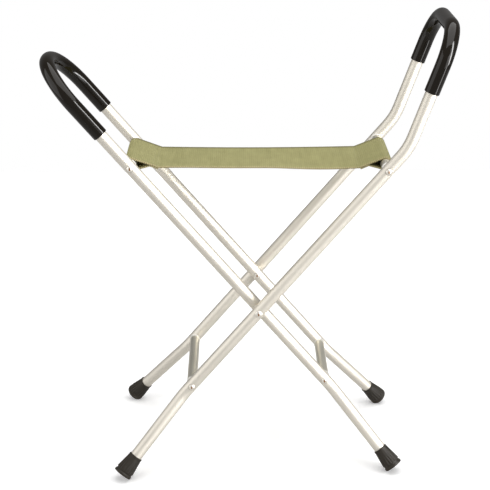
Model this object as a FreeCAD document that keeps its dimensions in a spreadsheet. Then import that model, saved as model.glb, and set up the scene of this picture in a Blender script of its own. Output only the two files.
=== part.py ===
import FreeCAD, Part
import math
import os

import Sketcher

# A folding walking stick seat: two bent tube frames crossed on a pair of pivot rivets, with a
# webbing sling between their seat bars, grip sleeves over their handle loops and rubber ferrules
# on their feet. Millimetres and degrees. X runs across the stool from the inner frame's handle to
# the outer frame's, Y runs away from the viewer, Z is up and Z 0 is the floor.

SIZES = {
    # Frame tubes
    "tube_od": 20.0,
    "tube_wall": 1.5,
    "leg_lean_angle": 40.25,
    "inner_half_width": 75.5,
    "seat_bar_reach": 316.0,
    "lower_bar_reach": 172.0,
    "splay_past_lower_bar": 20.0,
    "splay_angle": 18.5,
    "splay_bend_radius": 60.0,
    "foot_length": 163.0,
    # Handle loops and their grips
    "inner_handle_reach": 520.5,
    "inner_loop_top_length": 4.0,
    "inner_grip_start": 390.0,
    "outer_bend_reach": 364.0,
    "outer_bend_angle": 20.6,
    "outer_bend_radius": 100.0,
    "outer_handle_length": 194.0,
    "outer_loop_top_length": 80.0,
    "outer_grip_start": 98.0,
    "grip_slip": 4.5,
    "grip_wall": 2.3,
    "grip_fit": 0.05,
    "grip_edge": 0.8,
    # Cross bars, their saddles and rivets
    "bar_od": 17.0,
    "bar_wall": 1.5,
    "saddle_od": 18.0,
    "saddle_neck": 4.0,
    "spigot_length": 18.0,
    "spigot_fit": 0.05,
    "bar_rivet_od": 4.8,
    "bar_rivet_fit": 0.05,
    "bar_rivet_head_od": 10.0,
    "bar_rivet_head_height": 2.2,
    # Pivots
    "pivot_rivet_od": 6.0,
    "pivot_fit": 0.05,
    "pivot_head_od": 12.0,
    "pivot_head_height": 2.6,
    "pivot_tail_od": 10.0,
    "pivot_tail_height": 2.0,
    "washer_od": 16.0,
    "washer_thickness": 1.4,
    "washer_gap": 0.1,
    # Ferrules
    "ferrule_height": 38.0,
    "ferrule_collar_od": 23.6,
    "ferrule_collar_height": 4.0,
    "ferrule_skirt_od": 30.6,
    "ferrule_skirt_height": 8.5,
    "ferrule_groove_od": 28.4,
    "ferrule_lip_od": 31.2,
    "ferrule_lip_height": 3.4,
    "ferrule_sole": 5.0,
    "ferrule_fit": 0.05,
    "ferrule_edge": 0.7,
    "tread_ring_od": 22.0,
    "tread_ring_width": 2.4,
    "tread_depth": 1.4,
    "flute_radius": 2.4,
    "flute_depth": 0.8,
    "flute_count": 20.0,
    "flute_run_in": 3.0,
    "disc_thickness": 1.5,
    # Webbing sling
    "webbing_width": 116.0,
    "webbing_thickness": 2.2,
    "sleeve_fit": 0.3,
    "sleeve_length": 30.0,
    "seam_length": 14.0,
    "seam_drop": 4.5,
    "middle_drop": 6.2,
}

# The parametric document

doc = FreeCAD.newDocument("walking_stick_seat")
sheet = doc.addObject("Spreadsheet::Sheet", "dims")
for row, (word, number) in enumerate(SIZES.items(), start=1):
    sheet.set(f"A{row}", word)
    sheet.set(f"B{row}", str(number))
    sheet.setAlias(f"B{row}", word)
doc.recompute()


class Size:
    """A size of the sheet, or sums on some: its number, and its formula on the cells."""

    def __init__(self, number, formula):
        self.number = number
        self.formula = formula

    def __add__(self, other):
        other = as_size(other)
        return Size(self.number + other.number, f"({self.formula} + {other.formula})")

    def __sub__(self, other):
        other = as_size(other)
        return Size(self.number - other.number, f"({self.formula} - {other.formula})")

    def __mul__(self, other):
        other = as_size(other)
        return Size(self.number * other.number, f"({self.formula} * {other.formula})")

    def __truediv__(self, other):
        other = as_size(other)
        return Size(self.number / other.number, f"({self.formula} / {other.formula})")

    def __neg__(self):
        return Size(-self.number, f"(-{self.formula})")


def as_size(value):
    """A plain number joins a sum of sizes as itself."""
    return value if isinstance(value, Size) else Size(float(value), repr(float(value)))


def size(word):
    """The size that the sheet holds under that word."""
    return Size(float(sheet.get(word)), f"dims.{word}")


def sine(angle):
    return Size(math.sin(math.radians(angle.number)), f"sin({angle.formula} * 1 deg)")


def bind(thing, name, value):
    """Sets one size of an object and ties it to the sheet."""
    setattr(thing, name, value.number)
    thing.setExpression(name, value.formula)


# Sizes that several pieces share

LEAN = size("leg_lean_angle")
TUBE_RADIUS = size("tube_od") / 2
BAR_RADIUS = size("bar_od") / 2
GRIP_RADIUS = TUBE_RADIUS + size("grip_wall")
INNER_HALF_WIDTH = size("inner_half_width")
LEG_GAP = size("washer_thickness") + size("washer_gap") * 2
OUTER_HALF_WIDTH = INNER_HALF_WIDTH + size("tube_od") + LEG_GAP
SPLAY_REACH = size("lower_bar_reach") + size("splay_past_lower_bar")
SOLE_REACH = size("foot_length") + size("disc_thickness") + size("ferrule_sole")
HALF_SPAN = size("seat_bar_reach") * sine(LEAN)


def pivot_point():
    """The pivots' axis over the floor, with the whole stool centred on X 0 and stood on Z 0."""
    lean = math.radians(LEAN.number)
    handle_lean = lean - math.radians(size("outer_bend_angle").number)
    inner_end = size("inner_handle_reach").number * math.sin(lean)
    outer_end = size("outer_bend_reach").number * math.sin(lean)
    outer_end += size("outer_handle_length").number * math.sin(handle_lean)
    down = math.cos(lean) * math.cos(math.radians(size("splay_angle").number))
    rim_drop = size("ferrule_lip_od").number / 2 * math.sqrt(1 - down**2)
    height = SPLAY_REACH.number * math.cos(lean) + SOLE_REACH.number * down + rim_drop
    return FreeCAD.Vector((inner_end - outer_end) / 2, 0, height)


PIVOT = pivot_point()
Y_AXIS = FreeCAD.Vector(0, 1, 0)
X_AXIS = FreeCAD.Vector(1, 0, 0)
Z_AXIS = FreeCAD.Vector(0, 0, 1)


class Frame:
    """One of the two hairpin frames. Its own Z runs up its legs from the pivot, its Y across."""

    def __init__(self, name, side, half_width, loop_top_length):
        self.name = name
        self.turn = FreeCAD.Rotation(Y_AXIS, side * LEAN.number)
        self.half_width = half_width
        self.loop_radius = half_width - loop_top_length / 2

    def placed(self, along=0.0):
        """A place on the frame's middle line, that far up the legs from the pivot."""
        return FreeCAD.Placement(PIVOT + self.turn.multVec(Z_AXIS * along), self.turn)

    def foot(self, y_side):
        """The place of a ferrule's sole, its Z up the splayed foot."""
        splay = FreeCAD.Rotation(X_AXIS, y_side * size("splay_angle").number)
        knee = FreeCAD.Vector(0, y_side * self.half_width.number, -SPLAY_REACH.number)
        sole = knee - splay.multVec(Z_AXIS) * SOLE_REACH.number
        return FreeCAD.Placement(PIVOT + self.turn.multVec(sole), self.turn * splay)


INNER = Frame("inner", -1, INNER_HALF_WIDTH, size("inner_loop_top_length"))
OUTER = Frame("outer", 1, OUTER_HALF_WIDTH, size("outer_loop_top_length"))


# Tools for outlines, bodies and bent tubes


def plane(body, role):
    """One of a body's own origin planes or axes."""
    return next(part for part in body.Origin.OriginFeatures if part.Role == role)


def new_body(label):
    body = doc.addObject("PartDesign::Body", label)
    body.Label = label
    return body


def new_sketch(body, name, role):
    sketch = body.newObject("Sketcher::SketchObject", name)
    sketch.AttachmentSupport = [(plane(body, role), "")]
    sketch.MapMode = "FlatFace"
    return sketch


def fix_point(sketch, geometry, end, across, along):
    """Holds an end of an edge at its distances from the sketch's origin."""
    for kind, value, axis in (("DistanceX", across, -2), ("DistanceY", along, -1)):
        if value.number == 0:
            sketch.addConstraint(Sketcher.Constraint("PointOnObject", geometry, end, axis))
            continue
        start = (-1, 1, geometry, end) if value.number > 0 else (geometry, end, -1, 1)
        index = sketch.addConstraint(Sketcher.Constraint(kind, *start, abs(value.number)))
        formula = value.formula if value.number > 0 else (-value).formula
        sketch.setExpression(f"Constraints[{index}]", formula)


def polygon(sketch, corners):
    """A closed outline of straight edges through corners given as (across, along) sizes."""
    places = [FreeCAD.Vector(x.number, y.number, 0) for x, y in corners]
    first = sketch.GeometryCount
    for start, stop in zip(places, places[1:] + places[:1]):
        sketch.addGeometry(Part.LineSegment(start, stop), False)
    count = len(corners)
    for index, (across, along) in enumerate(corners):
        before = first + (index - 1) % count
        sketch.addConstraint(Sketcher.Constraint("Coincident", before, 2, first + index, 1))
        fix_point(sketch, first + index, 1, across, along)


def ring(sketch, radius, across=None, along=None):
    """A circle of a given radius, at the sketch's origin unless a place is given."""
    place = FreeCAD.Vector(across.number if across else 0, along.number if along else 0, 0)
    index = sketch.addGeometry(Part.Circle(place, Z_AXIS, radius.number), False)
    held = sketch.addConstraint(Sketcher.Constraint("Radius", index, radius.number))
    sketch.setExpression(f"Constraints[{held}]", radius.formula)
    fix_point(sketch, index, 3, across or as_size(0), along or as_size(0))


def pad(body, sketch, length):
    """Raises a sketch by half the length to each side of its plane."""
    feature = body.newObject("PartDesign::Pad", "Pad")
    feature.Profile = sketch
    feature.SideType = "Symmetric"
    bind(feature, "Length", length)
    sketch.Visibility = False
    return feature


def revolve(body, sketch, kind="PartDesign::Revolution", axis="V_Axis"):
    """Turns a sketch once round one of its own axes, to add or, as a groove, to cut."""
    feature = body.newObject(kind, "Turned")
    feature.Profile = sketch
    feature.ReferenceAxis = (sketch, [axis])
    feature.Angle = 360
    sketch.Visibility = False
    return feature


def rounded_path(corners, radii):
    """A wire through the first and last corner that turns each one between on its radius."""
    edges = []
    start = corners[0]
    for before, corner, after, radius in zip(corners, corners[1:], corners[2:], radii):
        back = (before - corner).normalize()
        ahead = (after - corner).normalize()
        half = back.getAngle(ahead) / 2
        setback = radius / math.tan(half)
        middle = (back + ahead).normalize() * (radius / math.sin(half) - radius)
        edges.append(Part.LineSegment(start, corner + back * setback).toShape())
        arc = Part.Arc(corner + back * setback, corner + middle, corner + ahead * setback)
        edges.append(arc.toShape())
        start = corner + ahead * setback
    edges.append(Part.LineSegment(start, corners[-1]).toShape())
    return Part.Wire(edges)


def swept_rod(name, path, radius):
    """A round rod of a given radius along a path."""
    section = doc.addObject("Part::Circle", f"{name}_section")
    bind(section, "Radius", radius)
    first = path.Shape.Edges[0]
    start = first.valueAt(first.FirstParameter)
    heading = first.tangentAt(first.FirstParameter)
    section.Placement = FreeCAD.Placement(start, FreeCAD.Rotation(Z_AXIS, heading))
    rod = doc.addObject("Part::Sweep", name)
    rod.Sections = [section]
    rod.Spine = (path, [f"Edge{index + 1}" for index in range(len(path.Shape.Edges))])
    rod.Solid = True
    return rod


def new_path(name, wire):
    path = doc.addObject("Part::Feature", name)
    path.Shape = wire
    return path


def cut(label, base, tool):
    result = doc.addObject("Part::Cut", label)
    result.Base = base
    result.Tool = tool
    return result


def pair(label, body):
    """A piece and its mirror image on the other side of the stool, as one group."""
    twin = doc.addObject("Part::Mirroring", f"{label}_twin")
    twin.Source = body
    twin.Normal = Y_AXIS
    group = doc.addObject("Part::Compound", label)
    group.Label = label
    group.Links = [body, twin]
    return group


# Frame tubes


def handle_corners(frame, y_side):
    """The corners of one leg line above the pivot: the handle's bend, if any, and its loop."""
    across = Y_AXIS * (y_side * frame.half_width.number)
    if frame is INNER:
        return [across + Z_AXIS * size("inner_handle_reach").number]
    bend = across + Z_AXIS * size("outer_bend_reach").number
    return [bend, bend + handle_heading() * size("outer_handle_length").number]


def handle_heading():
    """The way the outer handle runs past its bend, which stands it up."""
    return FreeCAD.Rotation(Y_AXIS, -size("outer_bend_angle").number).multVec(Z_AXIS)


def leg_corners(frame, y_side):
    """The foot's end and knee of one leg, then its handle corners."""
    splay = FreeCAD.Rotation(X_AXIS, y_side * size("splay_angle").number)
    knee = FreeCAD.Vector(0, y_side * frame.half_width.number, -SPLAY_REACH.number)
    foot = knee - splay.multVec(Z_AXIS) * size("foot_length").number
    return [foot, knee] + handle_corners(frame, y_side)


def bend_radii(frame):
    """The bend radii of one leg line, in the order of its corners."""
    knee = size("splay_bend_radius").number
    if frame is INNER:
        return [knee, frame.loop_radius.number]
    return [knee, size("outer_bend_radius").number, frame.loop_radius.number]


def cross_drill(frame, name, radius, along):
    """A drill right across the frame, through both walls of both legs."""
    drill = doc.addObject("Part::Cylinder", f"{frame.name}_{name}_drill")
    bind(drill, "Radius", radius)
    reach = frame.half_width + size("tube_od")
    bind(drill, "Height", reach * 2)
    start = FreeCAD.Vector(0, -reach.number, along.number)
    drill.Placement = FreeCAD.Placement(start, FreeCAD.Rotation(Z_AXIS, Y_AXIS))
    return drill


def frame_tube(frame):
    """One length of tube bent into a hairpin: foot, knee, leg, handle loop and back."""
    wire = rounded_path(
        leg_corners(frame, -1) + leg_corners(frame, 1)[::-1],
        bend_radii(frame) + bend_radii(frame)[::-1],
    )
    path = new_path(f"{frame.name}_frame_path", wire)
    outside = swept_rod(f"{frame.name}_frame_outside", path, TUBE_RADIUS)
    bore = swept_rod(f"{frame.name}_frame_bore", path, TUBE_RADIUS - size("tube_wall"))
    rivet_hole = size("bar_rivet_od") / 2 + size("bar_rivet_fit")
    pivot_hole = size("pivot_rivet_od") / 2 + size("pivot_fit")
    tools = doc.addObject("Part::MultiFuse", f"{frame.name}_frame_hollows")
    tools.Shapes = [
        bore,
        cross_drill(frame, "seat_bar", rivet_hole, size("seat_bar_reach")),
        cross_drill(frame, "pivot", pivot_hole, as_size(0)),
        cross_drill(frame, "lower_bar", rivet_hole, -size("lower_bar_reach")),
    ]
    tube = cut(f"{frame.name}_frame_tube", outside, tools)
    tube.Placement = frame.placed()
    return tube


def grip_start(frame, y_side):
    """Where a grip sleeve's end lies on its leg line, the sleeve having slipped to the near side."""
    slip = size("grip_slip").number * y_side
    if frame is INNER:
        across = Y_AXIS * (y_side * frame.half_width.number)
        return across + Z_AXIS * (size("inner_grip_start").number + slip)
    start = size("outer_grip_start").number + slip
    return handle_corners(frame, y_side)[0] + handle_heading() * start


def grip(frame):
    """A soft sleeve pushed over the handle loop, with rounded ends."""
    corners = [
        grip_start(frame, -1),
        handle_corners(frame, -1)[-1],
        handle_corners(frame, 1)[-1],
        grip_start(frame, 1),
    ]
    path = new_path(
        f"{frame.name}_grip_path",
        rounded_path(corners, [frame.loop_radius.number] * 2),
    )
    outside = swept_rod(f"{frame.name}_grip_outside", path, GRIP_RADIUS)
    bore = swept_rod(f"{frame.name}_grip_bore", path, TUBE_RADIUS + size("grip_fit"))
    sleeve = cut(f"{frame.name}_grip_sleeve", outside, bore)
    doc.recompute()
    rims = [
        index
        for index, edge in enumerate(sleeve.Shape.Edges, start=1)
        if is_rim(edge, GRIP_RADIUS.number, corners)
    ]
    rounded = doc.addObject("Part::Fillet", f"{frame.name}_grip")
    rounded.Base = sleeve
    edge_radius = size("grip_edge").number
    rounded.Edges = [(index, edge_radius, edge_radius) for index in rims]
    rounded.Placement = frame.placed()
    return rounded


def is_rim(edge, radius, corners):
    """Whether an edge is the outer circle at either end of a sleeve."""
    circle = isinstance(edge.Curve, Part.Circle)
    if not circle or abs(edge.Curve.Radius - radius) > 0.001:
        return False
    return min((edge.Curve.Center - end).Length for end in (corners[0], corners[-1])) < 0.001


# Cross bars


def cross_bar(frame, station, along):
    """A plain tube between the legs, cut short of them by the saddles' necks."""
    body = new_body(f"{frame.name}_{station}_bar")
    sketch = new_sketch(body, f"{body.Label}_section", "XZ_Plane")
    ring(sketch, BAR_RADIUS)
    ring(sketch, BAR_RADIUS - size("bar_wall"))
    pad(body, sketch, bar_end(frame) * 2)
    body.Placement = frame.placed(along.number)
    return body


def bar_end(frame):
    """How far from the middle a cross bar ends and its saddle's neck begins."""
    return frame.half_width - TUBE_RADIUS - size("saddle_neck")


def saddles(frame, station, along):
    """The two bar ends: a plug in the bar, a neck of its own and a cup against the leg."""
    label = f"{frame.name}_{station}_bar_saddles"
    body = new_body(f"{label}_one")
    bore = size("bar_rivet_od") / 2 + size("bar_rivet_fit")
    spigot = BAR_RADIUS - size("bar_wall") - size("spigot_fit")
    neck = size("saddle_od") / 2
    profile = new_sketch(body, f"{label}_profile", "XY_Plane")
    polygon(
        profile,
        [
            (bore, bar_end(frame) - size("spigot_length")),
            (spigot, bar_end(frame) - size("spigot_length")),
            (spigot, bar_end(frame)),
            (neck, bar_end(frame)),
            (neck, frame.half_width),
            (bore, frame.half_width),
        ],
    )
    revolve(body, profile)
    cup = new_sketch(body, f"{label}_cup", "XY_Plane")
    ring(cup, TUBE_RADIUS, along=frame.half_width)
    pocket = body.newObject("PartDesign::Pocket", "Cup")
    pocket.Profile = cup
    pocket.SideType = "Symmetric"
    bind(pocket, "Length", size("saddle_od") * 2)
    cup.Visibility = False
    body.Placement = frame.placed(along.number)
    return pair(label, body)


def domed_pin(body, name, radius, tip, seat, head_radius, head_height):
    """A pin along Y from its tip to its seat, then a domed head over the seat."""
    profile = new_sketch(body, name, "XY_Plane")
    crown = seat + head_height
    corners = [
        (as_size(0), tip),
        (radius, tip),
        (radius, seat),
        (head_radius, seat),
        (as_size(0), crown),
    ]
    places = [FreeCAD.Vector(x.number, y.number, 0) for x, y in corners]
    for start, stop in zip(places, places[1:-1]):
        profile.addGeometry(Part.LineSegment(start, stop), False)
    drop = (head_radius.number**2 - head_height.number**2) / (2 * head_height.number)
    centre = FreeCAD.Vector(0, seat.number - drop, 0)
    dome_radius = head_height.number + drop
    edge_angle = math.atan2(drop, head_radius.number)
    dome = Part.ArcOfCircle(Part.Circle(centre, Z_AXIS, dome_radius), edge_angle, math.pi / 2)
    profile.addGeometry(dome, False)
    profile.addGeometry(Part.LineSegment(places[-1], places[0]), False)
    joins = [(0, 2, 1, 1), (1, 2, 2, 1), (2, 2, 3, 1), (3, 2, 4, 1), (4, 2, 0, 1)]
    for join in joins:
        profile.addConstraint(Sketcher.Constraint("Coincident", *join))
    profile.addConstraint(Sketcher.Constraint("PointOnObject", 3, 3, -2))
    for index, (across, along) in enumerate(corners):
        fix_point(profile, index, 1, across, along)
    revolve(body, profile)


def bar_rivets(frame, station, along):
    """The two domed rivets that go through a leg and into the saddle's plug."""
    label = f"{frame.name}_{station}_bar_rivets"
    body = new_body(f"{label}_one")
    domed_pin(
        body,
        f"{label}_profile",
        size("bar_rivet_od") / 2,
        bar_end(frame) - size("spigot_length") + size("bar_rivet_od") / 2,
        frame.half_width + TUBE_RADIUS,
        size("bar_rivet_head_od") / 2,
        size("bar_rivet_head_height"),
    )
    body.Placement = frame.placed(along.number)
    return pair(label, body)


# Pivots


def pivot_rivet(label, y_side):
    """A rivet through both legs, its head outside and its clenched tail inside."""
    body = new_body(label)
    shank = size("pivot_rivet_od") / 2
    seat = OUTER_HALF_WIDTH + TUBE_RADIUS + size("pivot_fit")
    tail_seat = INNER_HALF_WIDTH - TUBE_RADIUS
    domed_pin(
        body,
        f"{label}_profile",
        shank,
        tail_seat,
        seat,
        size("pivot_head_od") / 2,
        size("pivot_head_height"),
    )
    tail = new_sketch(body, f"{label}_tail", "XY_Plane")
    tail_top = tail_seat - size("pivot_tail_height")
    polygon(
        tail,
        [
            (as_size(0), tail_top),
            (shank, tail_top),
            (size("pivot_tail_od") / 2, tail_seat - size("pivot_tail_height") / 2),
            (size("pivot_tail_od") / 2, tail_seat),
            (as_size(0), tail_seat),
        ],
    )
    revolve(body, tail)
    body.Placement = at_pivot(y_side)
    return body


def at_pivot(y_side):
    """The pivot's place, turned half round for the pieces on the near side."""
    return FreeCAD.Placement(PIVOT, FreeCAD.Rotation(Z_AXIS, 0 if y_side > 0 else 180))


def pivot_washer(label, y_side):
    """A flat washer on the pivot rivet that keeps the two legs apart."""
    body = new_body(label)
    sketch = new_sketch(body, f"{label}_profile", "XY_Plane")
    near = INNER_HALF_WIDTH + TUBE_RADIUS + size("washer_gap")
    bore = size("pivot_rivet_od") / 2 + size("pivot_fit")
    rim = size("washer_od") / 2
    far = near + size("washer_thickness")
    polygon(sketch, [(bore, near), (rim, near), (rim, far), (bore, far)])
    revolve(body, sketch)
    body.Placement = at_pivot(y_side)
    return body


# Feet


def ferrule(frame, label, y_side):
    """A moulded rubber ferrule: collar, flaring skirt with flutes, groove, lip and tread."""
    body = new_body(label)
    bore = TUBE_RADIUS + size("ferrule_fit")
    top = size("ferrule_height")
    groove = size("ferrule_groove_od") / 2
    lip = size("ferrule_lip_od") / 2
    lip_height = size("ferrule_lip_height")
    groove_rise = (size("ferrule_skirt_height") - lip_height) / 3
    profile = new_sketch(body, f"{label}_profile", "XZ_Plane")
    polygon(
        profile,
        [
            (as_size(0), as_size(0)),
            (lip, as_size(0)),
            (lip, lip_height),
            (groove, lip_height + groove_rise),
            (groove, size("ferrule_skirt_height") - groove_rise),
            (size("ferrule_skirt_od") / 2, size("ferrule_skirt_height")),
            (size("ferrule_collar_od") / 2, top - size("ferrule_collar_height")),
            (size("ferrule_collar_od") / 2, top),
            (bore, top),
            (bore, size("ferrule_sole")),
            (as_size(0), size("ferrule_sole")),
        ],
    )
    revolve(body, profile)
    tread = new_sketch(body, f"{label}_tread", "XZ_Plane")
    ring_outside = size("tread_ring_od") / 2
    ring_inside = ring_outside - size("tread_ring_width")
    tread_depth = size("tread_depth")
    polygon(
        tread,
        [
            (ring_inside, -tread_depth),
            (ring_outside, -tread_depth),
            (ring_outside, tread_depth),
            (ring_inside, tread_depth),
        ],
    )
    revolve(body, tread, "PartDesign::Groove")
    doc.recompute()
    soften_rims(body)
    flutes(body, label)
    body.Placement = frame.foot(y_side)
    return body


def soften_rims(body):
    """Rounds the ferrule's top rim, its skirt's widest edge and its lip."""
    heights = (0.0, size("ferrule_skirt_height").number, size("ferrule_height").number)
    rims = [
        f"Edge{index}"
        for index, edge in enumerate(body.Shape.Edges, start=1)
        if isinstance(edge.Curve, Part.Circle)
        and edge.Curve.Radius > size("ferrule_collar_od").number / 2 - 0.001
        and any(abs(edge.Curve.Center.z - height) < 0.001 for height in heights)
    ]
    turned = body.Tip
    fillet = body.newObject("PartDesign::Fillet", "Rims")
    fillet.Base = (turned, rims)
    bind(fillet, "Radius", size("ferrule_edge"))


def flutes(body, label):
    """Long shallow flutes round the skirt, deepest at its foot and gone below the collar."""
    foot = size("ferrule_skirt_od") / 2
    head = size("ferrule_collar_od") / 2
    low = size("ferrule_skirt_height")
    high = size("ferrule_height") - size("ferrule_collar_height")
    outwards = size("flute_radius") - size("flute_depth")
    start = FreeCAD.Vector(foot.number + outwards.number, 0, low.number)
    stop = FreeCAD.Vector(head.number + size("flute_radius").number, 0, high.number)
    tool = body.newObject("PartDesign::SubtractiveCylinder", f"{label}_flute")
    bind(tool, "Radius", size("flute_radius"))
    heading = (stop - start).normalize()
    run_in = size("flute_run_in").number
    tool.Height = (stop - start).Length + run_in
    turn = FreeCAD.Rotation(Z_AXIS, heading)
    tool.Placement = FreeCAD.Placement(start - heading * run_in, turn)
    pattern = body.newObject("PartDesign::PolarPattern", f"{label}_flutes")
    pattern.Originals = [tool]
    pattern.Axis = (plane(body, "Z_Axis"), [""])
    pattern.Angle = 360
    pattern.Occurrences = round(size("flute_count").number)
    body.Tip = pattern


def ferrule_discs(frame):
    """The steel disc in each ferrule that stops the tube from punching through the sole."""
    label = f"{frame.name}_ferrule_discs"
    disc = doc.addObject("Part::Cylinder", f"{label}_one")
    bind(disc, "Radius", TUBE_RADIUS)
    bind(disc, "Height", size("disc_thickness"))
    place = frame.foot(1)
    lifted = FreeCAD.Placement(Z_AXIS * size("ferrule_sole").number, FreeCAD.Rotation())
    disc.Placement = place * lifted
    return pair(label, disc)


# Webbing sling


def tangent_point(outside, radius, side):
    """Where a line from a point outside a circle at the origin touches it."""
    distance = outside.Length
    bearing = math.atan2(outside.y, outside.x)
    angle = bearing + side * math.acos(radius / distance)
    return FreeCAD.Vector(radius * math.cos(angle), radius * math.sin(angle), 0)


def webbing_half(label, frame, heading):
    """Half of the sling: a sleeve round the seat bar, the seam under it and the single ply.

    The section lies in a plane across the bar, with the bar's axis as its origin."""
    body = new_body(label)
    section = new_sketch(body, f"{label}_section", "XZ_Plane")
    thickness = size("webbing_thickness")
    inside = BAR_RADIUS + size("sleeve_fit")
    outside = inside + thickness
    seam_end = size("sleeve_length") + size("seam_length")
    corners = {
        "middle_top": (HALF_SPAN, -size("middle_drop")),
        "seam_top": (seam_end, -size("seam_drop")),
        "seam_foot": (seam_end, -(size("seam_drop") + thickness * 2)),
        "seam_underside": (seam_end, -(size("seam_drop") + thickness)),
        "middle_foot": (HALF_SPAN, -(size("middle_drop") + thickness)),
    }
    at = {name: FreeCAD.Vector(x.number, y.number, 0) for name, (x, y) in corners.items()}
    upper = tangent_point(at["seam_top"], outside.number, 1)
    slope = (at["seam_top"] - upper).normalize()
    along = (size("seam_length").number / slope.x) * slope
    ply_meet = at["seam_foot"] - along
    lower = tangent_point(ply_meet, outside.number, -1)
    outline = [
        Part.LineSegment(at["middle_top"], at["seam_top"]),
        Part.LineSegment(at["seam_top"], upper),
        arc_round_bar(upper, lower, outside.number),
        Part.LineSegment(lower, ply_meet),
        Part.LineSegment(ply_meet, at["seam_foot"]),
        Part.LineSegment(at["seam_foot"], at["seam_underside"]),
        Part.LineSegment(at["seam_underside"], at["middle_foot"]),
        Part.LineSegment(at["middle_foot"], at["middle_top"]),
    ]
    for edge in outline:
        section.addGeometry(edge, False)
    for name, edge in (
        ("middle_top", 0),
        ("seam_top", 1),
        ("seam_foot", 5),
        ("seam_underside", 6),
        ("middle_foot", 7),
    ):
        fix_point(section, edge, 1, *corners[name])
    join = [(0, 2, 1, 1), (3, 2, 4, 1), (4, 2, 5, 1), (5, 2, 6, 1), (6, 2, 7, 1), (7, 2, 0, 1)]
    for ends in join:
        section.addConstraint(Sketcher.Constraint("Coincident", *ends))
    round_bar(section, 2, 1, 3, outside)
    section.addConstraint(Sketcher.Constraint("Parallel", 4, 1))
    meet = section.addConstraint(
        Sketcher.Constraint("DistanceX", -1, 1, 4, 1, size("sleeve_length").number)
    )
    section.setExpression(f"Constraints[{meet}]", size("sleeve_length").formula)
    sleeve_hollow(section, upper, lower, slope, inside)
    pad(body, section, size("webbing_width"))
    turn = FreeCAD.Rotation(Z_AXIS, 0 if heading > 0 else 180)
    bar = frame.placed(size("seat_bar_reach").number).Base
    body.Placement = FreeCAD.Placement(bar, turn)
    return body


def arc_round_bar(upper, lower, radius):
    """The arc round the bar's outer side, drawn anticlockwise from the top touch to the bottom."""
    start = math.atan2(upper.y, upper.x)
    stop = math.atan2(lower.y, lower.x) + 2 * math.pi
    return Part.ArcOfCircle(Part.Circle(FreeCAD.Vector(), Z_AXIS, radius), start, stop)


def round_bar(section, arc, upper_line, lower_line, radius):
    """Centres an arc on the bar and runs the two plies smoothly into it."""
    section.addConstraint(Sketcher.Constraint("Coincident", arc, 3, -1, 1))
    held = section.addConstraint(Sketcher.Constraint("Radius", arc, radius.number))
    section.setExpression(f"Constraints[{held}]", radius.formula)
    section.addConstraint(Sketcher.Constraint("Tangent", upper_line, 2, arc, 1))
    section.addConstraint(Sketcher.Constraint("Tangent", arc, 2, lower_line, 1))


def sleeve_hollow(section, upper, lower, slope, radius):
    """The teardrop inside the sleeve, a webbing's thickness in from its outside."""
    shrink = radius.number / math.hypot(upper.x, upper.y)
    top = upper * shrink
    foot = lower * shrink
    rise = FreeCAD.Vector(-lower.y, lower.x, 0).normalize()
    crossing = slope.x * rise.y - slope.y * rise.x
    gap = foot - top
    travel = (gap.x * rise.y - gap.y * rise.x) / crossing
    tip = top + slope * travel
    first = section.GeometryCount
    section.addGeometry(Part.LineSegment(tip, top), False)
    section.addGeometry(arc_round_bar(top, foot, radius.number), False)
    section.addGeometry(Part.LineSegment(foot, tip), False)
    section.addConstraint(Sketcher.Constraint("Coincident", first + 2, 2, first, 1))
    round_bar(section, first + 1, first, first + 2, radius)
    section.addConstraint(Sketcher.Constraint("Parallel", first, 1))
    section.addConstraint(Sketcher.Constraint("Parallel", first + 2, 3))


# The stool

pieces = []
for frame in (INNER, OUTER):
    pieces.append(frame_tube(frame))
    pieces.append(grip(frame))
    for station, along in (
        ("seat", size("seat_bar_reach")),
        ("lower", -size("lower_bar_reach")),
    ):
        pieces.append(cross_bar(frame, station, along))
        pieces.append(saddles(frame, station, along))
        pieces.append(bar_rivets(frame, station, along))
    pieces.append(ferrule(frame, f"{frame.name}_near_ferrule", -1))
    pieces.append(ferrule(frame, f"{frame.name}_far_ferrule", 1))
    pieces.append(ferrule_discs(frame))
for name, y_side in (("near", -1), ("far", 1)):
    pieces.append(pivot_rivet(f"{name}_pivot_rivet", y_side))
    pieces.append(pivot_washer(f"{name}_pivot_washer", y_side))
pieces.append(webbing_half("seat_webbing_inner_half", INNER, 1))
pieces.append(webbing_half("seat_webbing_outer_half", OUTER, -1))

doc.recompute()

# Checks, then one file for each piece

for thing in doc.Objects:
    if "Invalid" in thing.State or "Error" in thing.State:
        raise RuntimeError(f"{thing.Label} failed: {thing.State}")
for piece in pieces:
    if piece.Shape.isNull() or not piece.Shape.isValid() or not piece.Shape.Solids:
        raise RuntimeError(f"{piece.Label} has no valid solid")

os.makedirs("parts", exist_ok=True)
for piece in pieces:
    piece.Shape.exportStep(f"parts/{piece.Label}.step")
    print(f"{piece.Label}: {len(piece.Shape.Solids)} solids, {piece.Shape.Volume:.0f} mm3")
print(f"{len(pieces)} pieces, pivot at {PIVOT.x:.3f}, {PIVOT.z:.3f}")
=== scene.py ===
import math

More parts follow.
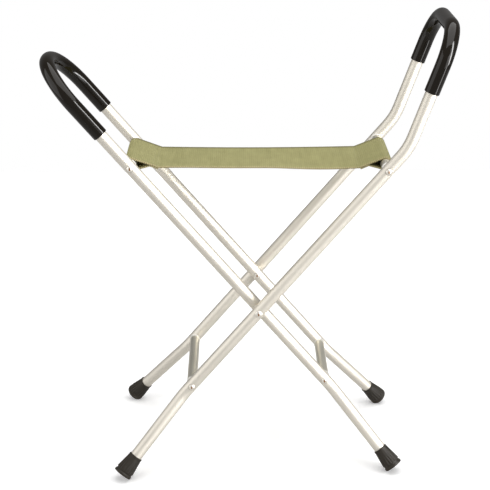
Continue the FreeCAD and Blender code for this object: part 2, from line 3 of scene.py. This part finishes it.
import bpy
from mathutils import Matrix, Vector


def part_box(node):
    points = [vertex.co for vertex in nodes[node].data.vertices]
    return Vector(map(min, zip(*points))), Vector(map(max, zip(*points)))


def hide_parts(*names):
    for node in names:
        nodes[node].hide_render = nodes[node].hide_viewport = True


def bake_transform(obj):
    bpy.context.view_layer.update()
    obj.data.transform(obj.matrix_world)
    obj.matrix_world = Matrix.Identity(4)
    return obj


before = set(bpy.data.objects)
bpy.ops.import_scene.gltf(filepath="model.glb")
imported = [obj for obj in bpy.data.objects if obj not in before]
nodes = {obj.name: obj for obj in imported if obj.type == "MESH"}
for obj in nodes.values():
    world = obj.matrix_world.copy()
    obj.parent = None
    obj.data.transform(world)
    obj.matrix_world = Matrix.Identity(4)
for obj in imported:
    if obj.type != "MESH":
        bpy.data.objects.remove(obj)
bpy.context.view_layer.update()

# Camera. It stands two metres in front of the stool, a metre over the floor, and looks down on
# the seat as the photographer did. The picture's middle lies a little off the lens's axis.
EYE = (-0.0165, -2.0700, 1.1231)
LOOK_DOWN = math.radians(20.18)
LOOK_ASIDE = math.radians(-0.69)
PICTURE = 490
LENS_AXIS = (252.07, 244.45)
SENSOR = 36
FOCAL_LENGTH = 96.13

bpy.ops.object.camera_add(location=EYE, rotation=(math.pi / 2 - LOOK_DOWN, 0, LOOK_ASIDE))
camera = bpy.context.object
camera.data.sensor_width = SENSOR
camera.data.lens = FOCAL_LENGTH
camera.data.shift_x = (PICTURE / 2 - LENS_AXIS[0]) / PICTURE
camera.data.shift_y = (LENS_AXIS[1] - PICTURE / 2) / PICTURE
bpy.context.scene.camera = camera


# Frame tubes. Each frame is one length of drawn aluminium tube, 20 mm across, bent to a hairpin
# and satin anodised. Drawing leaves faint lines along it, and a dark ring of painted shade is
# laid on the metal round each rivet head.
class Wire:
    """One value on its way through a finish. Each sum done with it adds a Math node."""

    def __init__(self, finish, socket):
        self.finish = finish
        self.socket = socket

    def math(self, operation, *others):
        sockets = dict(enumerate((self, *others)))
        return self.finish.node("ShaderNodeMath", {"operation": operation}, sockets)

    def __add__(self, other):
        return self.math("ADD", other)

    def __sub__(self, other):
        return self.math("SUBTRACT", other)

    def __rsub__(self, other):
        sockets = {0: other, 1: self}
        return self.finish.node("ShaderNodeMath", {"operation": "SUBTRACT"}, sockets)

    def __mul__(self, other):
        return self.math("MULTIPLY", other)

    def __truediv__(self, other):
        return self.math("DIVIDE", other)

    __radd__ = __add__


class Finish:
    """A material or world in the making: its nodes, added one at a time until they end it."""

    def __init__(self, name, kind="materials"):
        self.made = getattr(bpy.data, kind).new(name)
        self.made.use_nodes = True
        self.tree = self.made.node_tree
        self.tree.nodes.clear()

    def node(self, kind, settings=None, sockets=None, out=0):
        """A node of that kind, its settings made first, then its sockets' values and links."""
        made = self.tree.nodes.new(kind)
        for word, value in (settings or {}).items():
            if word == "stops":
                set_stops(made.color_ramp, value)
            else:
                setattr(made, word, value)
        for key, value in (sockets or {}).items():
            if isinstance(value, Wire):
                self.tree.links.new(value.socket, made.inputs[key])
            else:
                made.inputs[key].default_value = value
        return Wire(self, made.outputs[out]) if made.outputs else None

    def place(self, origin=(0, 0, 0), turn=(0, 0, 0), stretch=(1, 1, 1)):
        """The piece's own coordinates in metres, from an origin, turned, then stretched."""
        here = self.node("ShaderNodeTexCoord", out="Object")
        sockets = {"Vector": here, "Location": origin, "Rotation": turn, "Scale": stretch}
        return self.node("ShaderNodeMapping", {"vector_type": "TEXTURE"}, sockets)

    def split(self, vector):
        """The three parts of a vector."""
        first = self.node("ShaderNodeSeparateXYZ", None, {0: vector})
        return [Wire(self, socket) for socket in first.socket.node.outputs]

    def length(self, vector):
        return self.node("ShaderNodeVectorMath", {"operation": "LENGTH"}, {0: vector}, "Value")

    def noise(self, vector, scale, detail, roughness=0.5):
        sockets = {"Vector": vector, "Scale": scale, "Detail": detail, "Roughness": roughness}
        return self.node("ShaderNodeTexNoise", None, sockets)

    def ramp(self, value, *stops):
        return self.node("ShaderNodeValToRGB", {"stops": stops}, {0: value})

    def between(self, value, low, high, new_low=0.0, new_high=1.0):
        """The value from low to high spread smoothly over a new range."""
        sockets = {0: value, 1: low, 2: high, 3: new_low, 4: new_high}
        return self.node("ShaderNodeMapRange", {"interpolation_type": "SMOOTHSTEP"}, sockets)

    def mix(self, share, first, second):
        return self.node(
            "ShaderNodeMix", {"data_type": "RGBA"}, {0: share, 6: first, 7: second}, out=2
        )

    def bump(self, height, depth, strength=1.0):
        return self.node(
            "ShaderNodeBump", None, {"Height": height, "Distance": depth, "Strength": strength}
        )

    def end(self, **sockets):
        """Ends the finish in a Principled shader. Its sockets' words are joined by underscores."""
        named = {word.replace("_", " "): value for word, value in sockets.items()}
        shader = self.node("ShaderNodeBsdfPrincipled", None, named)
        self.node("ShaderNodeOutputMaterial", None, {"Surface": shader})
        return self.made


def set_stops(ramp, stops):
    """The stops of a colour ramp, given as (place, colour)."""
    while len(ramp.elements) < len(stops):
        ramp.elements.new(1.0)
    for element, (place, colour) in zip(ramp.elements, stops):
        element.position = place
        element.color = colour


def middle(node):
    low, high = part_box(node)
    return (low + high) / 2


# A ring of painted shade round each rivet head. Its reach is measured in the plane of the frame,
# by a stretch that cancels the depth.
PAINTED_SHADE_RING = (0.0050, 0.0066)
ANY_DEPTH = 1000


def drawn_aluminium(name, along, rivets, tint, roughness):
    """Satin aluminium with faint lines along the tube and rings of painted shade round its rivets.
    """
    finish = Finish(name)
    lines = finish.noise(along(finish, 60), 420, 1)
    streaks = finish.noise(along(finish, 25), 160, 2)
    cloud = finish.noise(finish.place(), 14, 3)
    tone = lines * 0.3 + streaks * 0.4 + cloud * 0.3
    dark = tuple(0.90 * part for part in tint) + (1,)
    colour = finish.ramp(tone, (0.35, dark), (0.65, tint + (1,)))
    # Each rivet head gets a dark ring of painted shade on the tube round it.
    for rivet in rivets:
        reach = finish.length(finish.place(middle(rivet), stretch=(1, ANY_DEPTH, 1)))
        painted_shade = finish.between(reach, *PAINTED_SHADE_RING, 0.55, 0.0)
        colour = finish.mix(painted_shade, colour, (0.33, 0.30, 0.25, 1))
    return finish.end(
        Base_Color=colour,
        Metallic=1.0,
        Roughness=roughness + (tone - 0.5) * 0.10,
        Normal=finish.bump(lines, 0.00001, 0.2),
    )


LEAN = math.radians(40.25)
SPLAY = math.radians(18.5)
SPLAY_REACH = 0.192
HANDLE_BEND = math.radians(20.6)
HANDLE_REACH = 0.364
SATIN = (0.80, 0.755, 0.67)


def along_frame(side):
    """The tube's own coordinates, long drawn out along it, through its splay and handle bend."""

    def coordinates(finish, length):
        turn = (0, side * LEAN, 0)
        x, y, z = finish.split(finish.place(middle("near_pivot_rivet") * Vector((1, 0, 1)), turn))
        foot = (z + SPLAY_REACH).math("MINIMUM", 0.0)
        y = y.math("ABSOLUTE") + foot * math.tan(SPLAY)
        if side > 0:
            handle = (z - HANDLE_REACH).math("MAXIMUM", 0.0)
            x = x + handle * math.tan(HANDLE_BEND)
        return finish.node("ShaderNodeCombineXYZ", None, {"X": x, "Y": y, "Z": z / length})

    return coordinates


for name, side in (("inner", -1), ("outer", 1)):
    rivets = [f"{name}_seat_bar_rivets", "near_pivot_rivet", f"{name}_lower_bar_rivets"]
    finish = drawn_aluminium(f"{name}_frame_aluminium", along_frame(side), rivets, SATIN, 0.54)
    nodes[f"{name}_frame_tube"].data.materials[0] = finish


# Handle grips. Black vinyl sleeves, dipped smooth and glossy, pushed over the loops of the frames
# while warm. Their skin is a little uneven where it stretched round the bend.
def glossy_vinyl(name):
    finish = Finish(name)
    swell = finish.noise(finish.place(), 18, 1)
    skin = finish.noise(finish.place(), 240, 2)
    dust = finish.between(finish.noise(finish.place(), 600, 3, 0.7), 0.62, 0.8)
    colour = finish.mix(dust * 0.12, (0.0075, 0.0048, 0.0018, 1), (0.05, 0.04, 0.03, 1))
    rough = 0.06 + skin * 0.04 + dust * 0.10
    height = swell + skin * 0.06
    return finish.end(
        Base_Color=colour,
        Roughness=rough,
        IOR=1.5,
        Specular_IOR_Level=0.3,
        Normal=finish.bump(height, 0.0004, 0.5),
    )


vinyl = glossy_vinyl("grip_vinyl_black")
for side in ("inner", "outer"):
    nodes[f"{side}_grip"].data.materials[0] = vinyl


# Cross bars. Four plain lengths of the same aluminium between the legs, two to carry the webbing
# and two to hold the feet apart. Saddles join them to the legs.
BAR_SATIN = (0.82, 0.785, 0.68)


def along_bar(finish, length):
    return finish.place(stretch=(1, length, 1))


for side in ("inner", "outer"):
    for station in ("seat", "lower"):
        bar = f"{side}_{station}_bar"
        finish = drawn_aluminium(f"{bar}_aluminium", along_bar, [], BAR_SATIN, 0.46)
        nodes[bar].data.materials[0] = finish


# Saddles. Pale moulded plugs pushed into the ends of the cross bars, cupped where they meet the
# leg and held against it by the rivets.
def pale_plastic(name):
    finish = Finish(name)
    cloud = finish.noise(finish.place(), 90, 3)
    colour = finish.ramp(cloud, (0.3, (0.80, 0.77, 0.71, 1)), (0.7, (0.88, 0.86, 0.81, 1)))
    return finish.end(
        Base_Color=colour,
        Roughness=0.38 + cloud * 0.12,
        Normal=finish.bump(finish.noise(finish.place(), 1500, 2), 0.00003, 0.4),
    )


plastic = pale_plastic("saddle_plastic_pale")
for side in ("inner", "outer"):
    for station in ("seat", "lower"):
        nodes[f"{side}_{station}_bar_saddles"].data.materials[0] = plastic


# Rivets and washers. Domed steel rivets go through the legs: small ones into the saddles, larger
# ones at the pivots, where a nylon washer keeps the legs apart. Each dome has a dull golden spot
# in its middle, a painted reflection of the dim room in front of it.
REFLECTION_SPOT_EDGE = (0.0012, 0.0018)


def bright_steel(name, rivet=None):
    """Scuffed steel. On a rivet, a dull golden spot of painted reflection lies in its dome's
    middle.
    """
    finish = Finish(name)
    scuff = finish.noise(finish.place(), 900, 4, 0.65)
    colour = finish.ramp(scuff, (0.35, (0.74, 0.69, 0.60, 1)), (0.65, (0.90, 0.87, 0.81, 1)))
    painted_reflection = 0
    if rivet:
        # A dull golden spot of painted reflection, drawn out upright, in the middle of the dome.
        head = finish.place(middle(rivet), stretch=(0.8, ANY_DEPTH, 1.6))
        painted_reflection = finish.between(finish.length(head), *REFLECTION_SPOT_EDGE, 1.0, 0.0)
        colour = finish.mix(painted_reflection, colour, (0.26, 0.115, 0.03, 1))
    return finish.end(
        Base_Color=colour,
        Metallic=1.0,
        Roughness=0.34 + scuff * 0.14 + painted_reflection * 0.25,
        Normal=finish.bump(scuff, 0.00003, 0.4),
    )


rivets = ["near_pivot_rivet", "far_pivot_rivet"]
for side in ("inner", "outer"):
    rivets += [f"{side}_seat_bar_rivets", f"{side}_lower_bar_rivets"]
    disc = bright_steel(f"{side}_ferrule_disc_steel")
    nodes[f"{side}_ferrule_discs"].data.materials[0] = disc
for rivet in rivets:
    nodes[rivet].data.materials[0] = bright_steel(f"{rivet}_steel", rivet)
for end in ("near", "far"):
    nodes[f"{end}_pivot_washer"].data.materials[0] = plastic


# Ferrules. Moulded rubber feet with a collar, fluted skirt and treaded sole, rubbed dull and
# dusty where they meet the ground.
DUST_HEIGHT = 0.02


def dull_rubber(name):
    finish = Finish(name)
    cloud = finish.noise(finish.place(), 70, 4, 0.6)
    pits = finish.noise(finish.place(), 1800, 3, 0.6)
    height = finish.split(finish.place())[2]
    dusty = finish.between(height, 0.0, DUST_HEIGHT, 1.0, 0.0) * cloud
    colour = finish.mix(dusty * 0.5, (0.022, 0.016, 0.009, 1), (0.11, 0.085, 0.055, 1))
    return finish.end(
        Base_Color=colour,
        Roughness=0.42 + cloud * 0.2 + dusty * 0.2,
        Specular_IOR_Level=0.35,
        Normal=finish.bump(pits + cloud, 0.0001, 0.5),
    )


rubber = dull_rubber("ferrule_rubber_black")
for side in ("inner", "outer"):
    for end in ("near", "far"):
        nodes[f"{side}_{end}_ferrule"].data.materials[0] = rubber


# Seat webbing. One strip of heavy olive webbing, woven with a rib across it every few millimetres.
# Each end goes round a seat bar and is sewn back under itself, and the strip hangs between. The
# bars draw it to its full width, and between them its near edge is a little slack.
BAR_RADIUS = 0.0085
BAR_ROOM = 0.0005
PLY = 0.0017
WIDTH = 0.115
FLARE = 0.06
LOOP_RADIUS = BAR_RADIUS + BAR_ROOM + PLY / 2
LEFT_SEAM = 0.044
RIGHT_SEAM = 0.041
SEAM_LENGTH = 0.014
SEAM_DROP = 0.0045 + PLY / 2
MIDDLE_DROP = 0.0056 + PLY / 2
SEWN_PLIES = 1.25
LOOP_STEPS = 24
HANG_STEPS = 12
inner_bar = middle("inner_seat_bar")
outer_bar = middle("outer_seat_bar")
span = outer_bar.x - inner_bar.x


def sewn_end(seam_end):
    """The strip's line from its seam round a bar at the origin to its cut end under the seam."""
    seam = Vector((seam_end, -SEAM_DROP))
    start = math.atan2(seam.y, seam.x) + math.acos(LOOP_RADIUS / seam.length)
    top = Vector((math.cos(start), math.sin(start))) * LOOP_RADIUS
    slope = (seam - top).normalized()
    cut = seam + Vector((slope.y, -slope.x)) * PLY * SEWN_PLIES
    under = cut - slope * SEAM_LENGTH
    stop = (math.atan2(under.y, under.x) - math.acos(LOOP_RADIUS / under.length)) % (2 * math.pi)
    turned = [start + (stop - start) * step / LOOP_STEPS for step in range(LOOP_STEPS + 1)]
    loop = [Vector((math.cos(angle), math.sin(angle))) * LOOP_RADIUS for angle in turned]
    return [seam, *loop, under, cut]


left_end = sewn_end(LEFT_SEAM)
right_end = [Vector((span - point.x, point.y)) for point in sewn_end(RIGHT_SEAM)]
hang = []
for step in range(1, HANG_STEPS):
    share = step / HANG_STEPS
    along = left_end[0].lerp(right_end[0], share)
    hang.append(along - Vector((0, math.sin(math.pi * share) * (MIDDLE_DROP - SEAM_DROP))))
route = left_end[::-1] + hang + right_end
steps = [(after - before).length for before, after in zip(route, route[1:])]
strip_length = sum(steps)
seam_top = sum(steps[: len(left_end) - 1]) - SEAM_LENGTH

# The line as a curve, a little wider at the bars, for the strip to be laid along.
guide = bpy.data.curves.new("webbing_route", "CURVE")
line = guide.splines.new("POLY")
line.points.add(len(route) - 1)
for point, place in zip(line.points, route):
    point.co = (place.x, place.y, 0, 1)
    point.radius = 1 + FLARE * (place.x / span * 2 - 1) ** 2
guide_object = bpy.data.objects.new("webbing_route", guide)
bpy.context.collection.objects.link(guide_object)

# The strip lies flat at first, a grid thickened to its ply with each rib raised in two steps.
RIB = 0.0032
RIB_STEP = 0.00012
RIB_COLUMNS = 4
ROWS = 24
ribs = round(strip_length / RIB)
columns = ribs * RIB_COLUMNS
bpy.ops.object.select_all(action="DESELECT")
bpy.ops.mesh.primitive_grid_add(x_subdivisions=columns, y_subdivisions=ROWS, size=1)
webbing = bpy.context.object
webbing.name = "seat_webbing"
webbing.scale = (strip_length, WIDTH, 1)
bpy.ops.object.transform_apply(location=False, rotation=False, scale=True)
thick = webbing.modifiers.new("Ply", "SOLIDIFY")
thick.thickness = PLY
thick.offset = 0
bpy.ops.object.modifier_apply(modifier="Ply")
for raised in ((1, 2, 3), (2,)):
    bpy.ops.object.mode_set(mode="EDIT")
    bpy.ops.mesh.select_all(action="DESELECT")
    bpy.ops.object.mode_set(mode="OBJECT")
    for vertex in webbing.data.vertices:
        column = round((vertex.co.x / strip_length + 0.5) * columns)
        vertex.select = column % RIB_COLUMNS in raised
    bpy.ops.object.mode_set(mode="EDIT")
    bpy.ops.transform.shrink_fatten(value=RIB_STEP)
    bpy.ops.object.mode_set(mode="OBJECT")

# Then it is set on edge, laid along the line, and moved to the bars.
bpy.ops.object.mode_set(mode="EDIT")
bpy.ops.mesh.select_all(action="SELECT")
bpy.ops.transform.translate(value=(strip_length / 2, 0, 0))
bpy.ops.transform.rotate(value=-math.pi / 2, orient_axis="X", center_override=(0, 0, 0))
bpy.ops.object.mode_set(mode="OBJECT")
wrap = webbing.modifiers.new("Lay", "CURVE")
wrap.object = guide_object
bpy.ops.object.modifier_apply(modifier="Lay")
bpy.data.objects.remove(guide_object)
webbing.rotation_euler = (math.pi / 2, 0, 0)
webbing.location = inner_bar
bpy.ops.object.transform_apply(location=True, rotation=True, scale=True)

# The near edge is slack at two places, moved by so much there and less and less around.
NEAR_EDGE = -0.054
HELD = 0.004
SLACK = ((0.125, -0.0028, 0.095), (-0.105, 0.0006, 0.075))
for place, lift, reach in SLACK:
    bpy.ops.object.mode_set(mode="EDIT")
    bpy.ops.mesh.select_all(action="DESELECT")
    bpy.ops.object.mode_set(mode="OBJECT")
    for vertex in webbing.data.vertices:
        vertex.select = abs(vertex.co.x - place) < HELD and vertex.co.y < NEAR_EDGE
    bpy.ops.object.mode_set(mode="EDIT")
    bpy.ops.transform.translate(
        value=(0, 0, lift),
        use_proportional_edit=True,
        proportional_edit_falloff="SMOOTH",
        proportional_size=reach,
    )
    bpy.ops.object.mode_set(mode="OBJECT")
bpy.ops.object.shade_smooth()

YARN = 0.0014
STITCH = 0.0042
STITCH_ROWS = (0.0045, 0.0105)
THREAD_EDGE = (0.0003, 0.0007)


def ribbed_webbing(name):
    """Olive yarn, darker between ribs and on the far edge, painted light on the near edge, painted
    shade on the right.
    """
    finish = Finish(name)
    run, across, _ = finish.split(finish.node("ShaderNodeTexCoord", out="UV"))
    rib = (run * (ribs * 2 * math.pi)).math("COSINE") * -0.5 + 0.5
    yarn = (across * (WIDTH / YARN * 2 * math.pi)).math("SINE") * 0.5 + 0.5
    cloud = finish.noise(finish.place(), 40, 4, 0.6)
    worn = finish.noise(finish.place(stretch=(1, 8, 1)), 160, 3)
    tone = 0.30 + rib * 0.14 + yarn * 0.08 + (cloud - 0.5) * 0.6 + (worn - 0.5) * 0.5
    colour = finish.ramp(tone, (0.1, (0.235, 0.222, 0.080, 1)), (0.9, (0.385, 0.362, 0.160, 1)))
    far_edge = finish.between(across, 0.03, 0.09, 1.0, 0.0)
    colour = finish.mix(far_edge * 0.85, colour, (0.135, 0.12, 0.038, 1))
    # Painted light along the near edge, and painted shade in the hollows between its ribs there.
    near_edge = finish.between(across, 0.955, 0.985)
    colour = finish.mix(near_edge * 0.7, colour, (0.60, 0.53, 0.27, 1))
    colour = finish.mix(near_edge * (1 - rib) * 0.7, colour, (0.16, 0.10, 0.04, 1))
    dash = (across * (WIDTH / STITCH * 2 * math.pi)).math("SINE").math("GREATER_THAN", -0.3)
    stitches = 0
    for row in STITCH_ROWS:
        for end in (seam_top + row, strip_length - seam_top - row):
            off = (run * strip_length - end).math("ABSOLUTE")
            stitches = finish.between(off, *THREAD_EDGE, 1.0, 0.0) * dash + stitches
    colour = finish.mix(stitches * 0.5, colour, (0.40, 0.38, 0.20, 1))
    # The right-hand part, which slopes away from the lamps, is darkened with painted shade.
    right_side_shade = finish.between(finish.split(finish.place())[0], 0.10, 0.24)
    colour = finish.mix(right_side_shade * 0.35, colour, (0.225, 0.212, 0.085, 1))
    return finish.end(
        Base_Color=colour,
        Roughness=0.82 + (cloud - 0.5) * 0.2,
        Normal=finish.bump(rib * 0.3 + yarn * 0.5 + stitches * 0.8, 0.00025, 0.7),
    )


webbing.data.materials.append(ribbed_webbing("seat_webbing_olive"))

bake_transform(webbing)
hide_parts("seat_webbing_inner_half", "seat_webbing_outer_half")


# Studio. A white table and backdrop, with a large soft lamp overhead and strip lamps on the right,
# one of them low. The room on the camera's side is dim, and what lies behind is seen white.
TABLE_SIZE = 3.2
bpy.ops.mesh.primitive_plane_add(size=TABLE_SIZE, location=(0, 0, 0))
floor = bpy.context.object
floor.name = "studio_floor"
table = Finish("studio_white")
rays = ("Camera", "Glossy", "Transmission")
camera_ray, glossy_ray, transmission_ray = [
    table.node("ShaderNodeLightPath", out=f"Is {ray} Ray") for ray in rays
]
cover = table.mix(camera_ray, (0.55, 0.55, 0.55, 1), (0.98, 0.98, 0.98, 1))
lit = table.node("ShaderNodeBsdfDiffuse", None, {"Color": cover})
far = table.between(table.length(table.place()), 0.6, 1.5)
shown = camera_ray * (0.24 + far * 0.4) + glossy_ray * 0.14 + transmission_ray * 0.62
white = table.node("ShaderNodeEmission", None, {"Strength": shown})
both = table.node("ShaderNodeAddShader", None, {0: lit, 1: white})
table.node("ShaderNodeOutputMaterial", None, {"Surface": both})
table.made.cycles.emission_sampling = "NONE"
floor.data.materials.append(table.made)

room = Finish("studio_room", "worlds")
toward = room.node("ShaderNodeTexCoord", out="Generated")
back = room.split(toward)[1]
light = room.between(back, -0.2, 0.5, 0.46, 0.22)
camera_ray = room.node("ShaderNodeLightPath", out="Is Camera Ray")
light = light + (1 - light) * camera_ray
glow = room.node("ShaderNodeBackground", None, {"Color": (1, 1, 1, 1), "Strength": light})
room.node("ShaderNodeOutputWorld", None, {"Surface": glow})
bpy.context.scene.world = room.made


def softbox(name, place, aim, size, power, lights=True):
    """A rectangular lamp turned to its aim. One that lights nothing only leaves highlights."""
    heading = Vector(aim) - Vector(place)
    bpy.ops.object.light_add(
        type="AREA", location=place, rotation=heading.to_track_quat("-Z", "Y").to_euler()
    )
    lamp = bpy.context.object
    lamp.name = name
    lamp.data.shape = "RECTANGLE"
    lamp.data.size, lamp.data.size_y = size
    lamp.data.energy = power
    lamp.visible_camera = False
    lamp.visible_diffuse = lights
    return lamp


softbox("overhead", (0.3, 0.0, 2.0), (0, 0, 0.3), (2.0, 2.0), 28)
softbox("left_fill", (-2.2, -0.6, 1.0), (0, 0, 0.35), (2.4, 2.4), 22)
softbox("right_strip", (1.7, -1.9, 0.72), (0, 0, 0.72), (1.4, 1.36), 15, lights=False)
softbox("right_glint", (2.0, -1.1, 1.32), (0, 0, 1.32), (0.42, 2.4), 80, lights=False)
softbox("low_strip", (0.92, -0.70, 0.27), (0.28, -0.06, 0.64), (0.15, 0.42), 1.7, lights=False)
softbox("right_fill", (2.0, -1.2, 1.2), (0, 0, 0.35), (1.5, 1.5), 16)

bpy.context.scene.view_settings.view_transform = "Standard"
